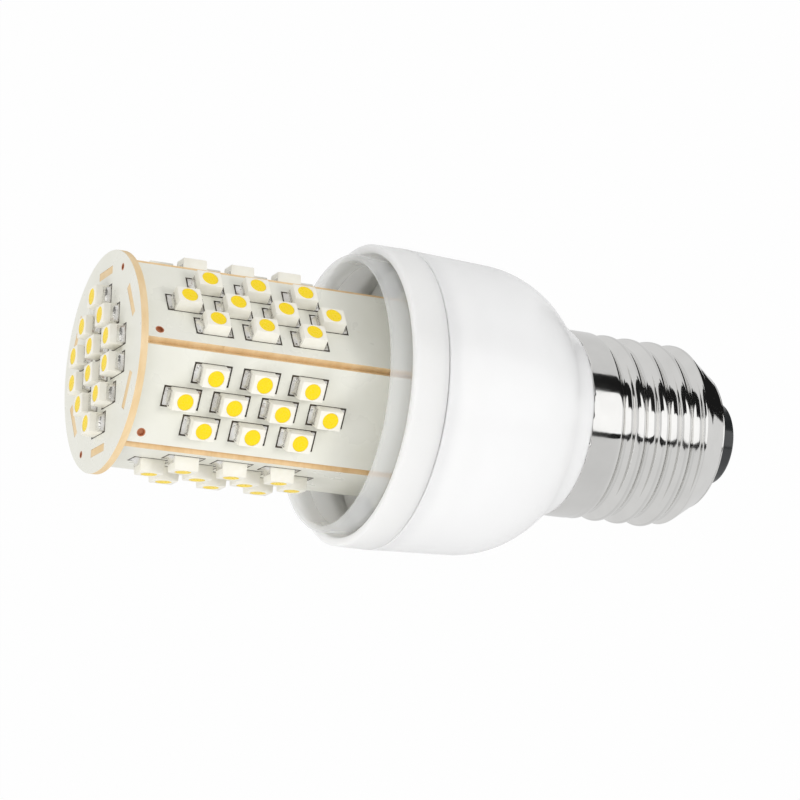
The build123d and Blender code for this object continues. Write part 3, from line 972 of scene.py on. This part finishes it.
# %% Pads and terminals
pad_half, pad_near, pad_far, pad_corner, pad_bottom, pad_top = 1.22, 1.5, 2.42, 0.12, -0.01, 0.035
leg_half, leg_near, leg_far, leg_corner, leg_top = 1.1, 1.55, 1.79, 0.06, 0.95
pad_corners = [(-pad_half, pad_near), (pad_half, pad_near), (pad_half, pad_far), (-pad_half, pad_far)]
pad_outline = softened([(*corner, pad_corner) for corner in pad_corners], count=3)
leg_outline = softened(
    [
        (-leg_half, leg_near), (leg_half, leg_near), (leg_half, leg_far, leg_corner),
        (-leg_half, leg_far, leg_corner),
    ],
    count=2,
)
pad = sheet("pad", pad_outline, pad_bottom, pad_top)
join(pad, sheet("leg", leg_outline, 0.0, leg_top))
terminals = copies(pad, "terminals", [Matrix.Identity(4), other_end])
bpy.data.objects.remove(pad)
print("terminals of a light:", len(terminals.data.polygons), "faces")

# %% Printed outline
frame_half_width, frame_half_length, line_width, ink_height = 1.45, 2.62, 0.25, 0.02
rest()
bpy.ops.mesh.primitive_plane_add(size=2)
outline = bpy.context.object
outline.name = "outline"
outline.data.transform(Matrix.Diagonal((frame_half_width * MM, frame_half_length * MM, 1, 1)))
bpy.ops.object.mode_set(mode="EDIT")
bpy.ops.mesh.select_all(action="SELECT")
bpy.ops.mesh.inset(thickness=line_width * MM)
bpy.ops.mesh.delete(type="FACE")
bpy.ops.mesh.select_all(action="SELECT")
bpy.ops.mesh.extrude_region_move(TRANSFORM_OT_translate={"value": (0, 0, ink_height * MM)})
close_up(outline, smooth=30)
print("printed outline:", len(outline.data.polygons), "faces")

# %% [markdown]
# ## All the lights
# Each panel carries ten lights in three staggered rows, and the end board carries twelve. The pattern is
# made once for a panel and once for the end, and every panel gets its own copy.

# %% Places of the lights
row_pitch, row_aside = 6.8, 3.6
middle_row, side_row = end_front - 7.3, end_front - 10.7
panel_places = [(0, middle_row - row_pitch * n) for n in range(4)]
panel_places += [(side * row_aside, side_row - row_pitch * n) for side in (-1, 1) for n in range(3)]
quarter = ((8.6, 0), (5.3, 3.5), (1.85, 0), (1.85, 6.4))
end_places = sorted({(a * x, b * y) for x, y in quarter for a in (-1, 1) for b in (-1, 1)})
print(len(panel_places), "lights on a panel and", len(end_places), "on the end")

# %% Place the lights
light_parts = [
    (light_body, "moulded_bodies", "light_body", body_cream, "light_bodies"),
    (light_gel, "gel_windows", "phosphor", phosphor_gel, "light_windows"),
    (solder_pair, "solder_joints", "solder", tin, "solder_fillets"),
    (terminals, "terminals", "solder", tin, None),
    (outline, "printed_outlines", "rectifier_black", outline_ink, None),
]
for source, name, slot, material, replaced in light_parts:
    patterns = [
        copies(source, name, [Matrix.Translation((x * MM, y * MM, 0)) for x, y in places])
        for places in (panel_places, end_places)
    ]
    boards = [(patterns[0], number, panel_matrix(number)) for number in range(1, board_count + 1)]
    for pattern, board_name, place in boards + [(patterns[1], "end", end_matrix)]:
        placed = copies(pattern, f"{name}_{board_name}", [place])
        dress(placed, slot, [material], *([f"{replaced}_{board_name}"] if replaced else []))
    for used in (source, *patterns):
        bpy.data.objects.remove(used)

# %% [markdown]
# ## Studio
# The lamp is a catalogue picture: white background, soft light from near the camera, and dark cards that
# give the chrome its black bands. The cards are hidden from everything but reflections. The background
# is white for the camera by Light Path, and not by more light on the lamp.

# %% World and floor
ambient_strength, mirrored_strength, floor_glow = 0.82, 0.78, 0.97
floor_size, floor_level = 8, -0.6
world = bpy.data.worlds.new("studio")
bpy.context.scene.world = world
world.use_nodes = True
tree = world.node_tree
tree.nodes.clear()
path = node(tree, "LightPath")
ambient, mirrored, backdrop = (
    node(tree, "Background", Color=rgb(1, 1, 1), Strength=strength).outputs[0]
    for strength in (ambient_strength, mirrored_strength, 1.0)
)
glossy = path.outputs["Is Glossy Ray"]
seen = calculate(tree, "MAXIMUM", path.outputs["Is Camera Ray"], path.outputs["Is Transmission Ray"])
unseen = node(tree, "MixShader", in0=glossy, in1=ambient, in2=mirrored).outputs[0]
shown = node(tree, "MixShader", in0=seen, in1=unseen, in2=backdrop).outputs[0]
node(tree, "OutputWorld", Surface=shown)

rest()
bpy.ops.mesh.primitive_plane_add(size=floor_size, location=(0, 0, floor_level))
floor = bpy.context.object
floor.name = "floor"
pale = bpy.data.materials.new("pale_floor")
pale.use_nodes = True
tree = pale.node_tree
tree.nodes.clear()
path = node(tree, "LightPath")
matt = node(tree, "BsdfDiffuse", Color=rgb(0.85, 0.85, 0.85)).outputs[0]
glow = node(tree, "Emission", Color=rgb(1, 1, 1), Strength=1.0).outputs[0]
share = calculate(tree, "MULTIPLY", path.outputs["Is Camera Ray"], floor_glow)
node(tree, "OutputMaterial", Surface=node(tree, "MixShader", in0=share, in1=matt, in2=glow).outputs[0])
floor.data.materials.append(pale)
print("world and floor ready")

# %% [markdown]
# The soft lamps and the cards stand round the lamp's axis, because a cylinder mirrors what lies round it
# as bands along its length. A place is an azimuth, 0 at the camera and growing towards the top of the
# picture, and a height, which grows towards the lamp's end board. Two soft lamps light the surfaces and
# show in no reflection. The white and black cards show in reflections alone. The cap's band and crests
# mirror the cards that stand low, and the flanks that lean towards the end board mirror the higher ones,
# so the bands on each get their own width. A last black card darkens the cap's tapered foot.

# %% Places in the studio
middle_of_lamp = Vector((0, 0, 45 * MM))
camera_azimuth = atan2(view_back.y, view_back.x)


def direction(azimuth, height):
    """Unit vector from the lamp towards this place in the studio, in degrees."""
    turn, level = camera_azimuth + radians(azimuth), radians(height)
    return Vector((cos(turn) * cos(level), sin(turn) * cos(level), sin(level)))


def softbox(name, azimuth, height, distance, size, energy):
    """A soft lamp that faces the middle of the lamp and shows in no reflection."""
    light = bpy.data.lights.new(name, "AREA")
    light.size, light.energy = size, energy
    box = bpy.data.objects.new(name, light)
    bpy.context.collection.objects.link(box)
    out = direction(azimuth, height)
    across = Vector((0, 0, 1)).cross(out).normalized()
    turn = Matrix((across, out.cross(across), out)).transposed().to_4x4()
    box.matrix_world = Matrix.Translation(middle_of_lamp + out * distance) @ turn
    box.visible_glossy = False


softbox("key", azimuth=10, height=-30, distance=0.6, size=0.18, energy=1.0)
softbox("fill", azimuth=-62, height=42, distance=0.6, size=0.5, energy=1.1)
print("two soft lamps")


# %% Cards
def glow_material(name, strength):
    """A card's material, which glows evenly."""
    made = bpy.data.materials.new(name)
    made.use_nodes = True
    made.node_tree.nodes.clear()
    light = node(made.node_tree, "Emission", Color=rgb(1, 1, 1), Strength=strength)
    node(made.node_tree, "OutputMaterial", Surface=light.outputs[0])
    return made


card_distance, card_squares = 0.68, 12
card_white, card_black = glow_material("card_white", 1.2), glow_material("card_black", 0.012)
cards = [
    ("key_card", card_white, (-4, 46), (-62, -8)),
    ("key_card_narrow", card_white, (-4, 29), (-8, 34)),
    ("upper_black", card_black, (46, 69), (-62, -8)),
    ("upper_black_wide", card_black, (29, 63), (-8, 50)),
    ("lower_black", card_black, (-10, -4), (-62, -8)),
    ("lower_black_wide", card_black, (-13, -4), (-8, 50)),
    ("foot_black", card_black, (60, 190), (-88, -42)),
]
for name, material, azimuths, heights in cards:
    rest()
    bpy.ops.mesh.primitive_grid_add(x_subdivisions=card_squares, y_subdivisions=card_squares, size=2)
    card = bpy.context.object
    card.name = name
    for vertex in card.data.vertices:
        azimuth = azimuths[0] + (azimuths[1] - azimuths[0]) * (vertex.co.x + 1) / 2
        height = heights[0] + (heights[1] - heights[0]) * (vertex.co.y + 1) / 2
        vertex.co = middle_of_lamp + direction(azimuth, height) * card_distance
    paint(card, [material])
    card.visible_camera = card.visible_diffuse = card.visible_shadow = card.visible_transmission = False
print(len(cards), "cards for reflections")

# %% [markdown]
# ## Finish
# Colours leave the scene as they are written, so the view transform is Standard.

# %% View
bpy.context.scene.view_settings.view_transform = "Standard"
